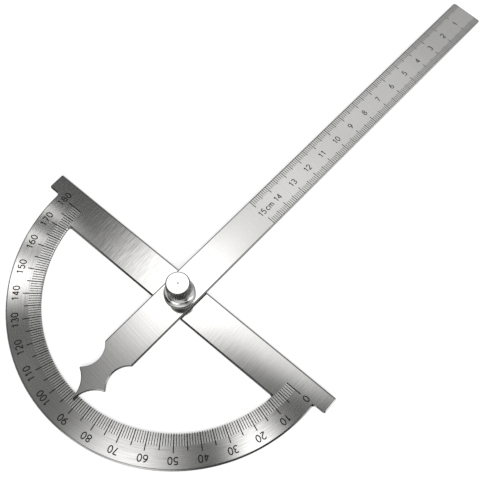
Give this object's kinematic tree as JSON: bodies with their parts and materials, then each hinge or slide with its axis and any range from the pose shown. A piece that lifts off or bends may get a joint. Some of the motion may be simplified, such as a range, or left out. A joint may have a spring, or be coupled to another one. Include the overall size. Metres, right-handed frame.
{
  "type": "protractor with swinging arm",
  "caption": "Flat steel protractor with a half-ring degree scale and a swinging arm, a ruler at one end and a pointer at the other, locked by a knurled nut.",
  "frame": {"origin": "on the pivot axis, in the plane of the plate's back, where the riveted stud lies flush", "axes": "+X along the bar towards the zero mark, +Y towards the ruler end of the arm and away from the half ring, +Z out of the marked face towards the nut"},
  "size_m": [0.1544, 0.2726, 0.0154],
  "materials": {
    "plate_steel": "brushed across the bar",
    "arm_steel": "brushed across the arm",
    "stud_steel": "turned",
    "washer_steel": "plain",
    "nut_plating": "polished"
  },
  "bodies": {
    "protractor": {"scale_plate": "plate_steel", "pivot_stud": "stud_steel", "spacer_washer": "washer_steel"},
    "arm": {"ruler_arm": "arm_steel"},
    "clamp_washer": {"nut_washer": "washer_steel"},
    "nut": {"lock_nut": "nut_plating"}
  },
  "joints": [
    {"name": "arm_swing", "type": "hinge", "parent": "protractor", "child": "arm", "pos_m": [0, 0, 0.0026], "axis": [0, 0, 1], "continuous": true},
    {"name": "washer_lift", "type": "slide", "parent": "protractor", "child": "clamp_washer", "axis": [0, 0, 1], "range_m": [0, 0.0008]},
    {"name": "nut_turn", "type": "hinge", "parent": "clamp_washer", "child": "nut", "pos_m": [0, 0, 0.0037], "axis": [0, 0, 1], "range_deg": [0, 360]}
  ],
  "couplings": [
    {"joint": "washer_lift", "follows": "nut_turn", "m_per_rad": 0.00012732}
  ]
}
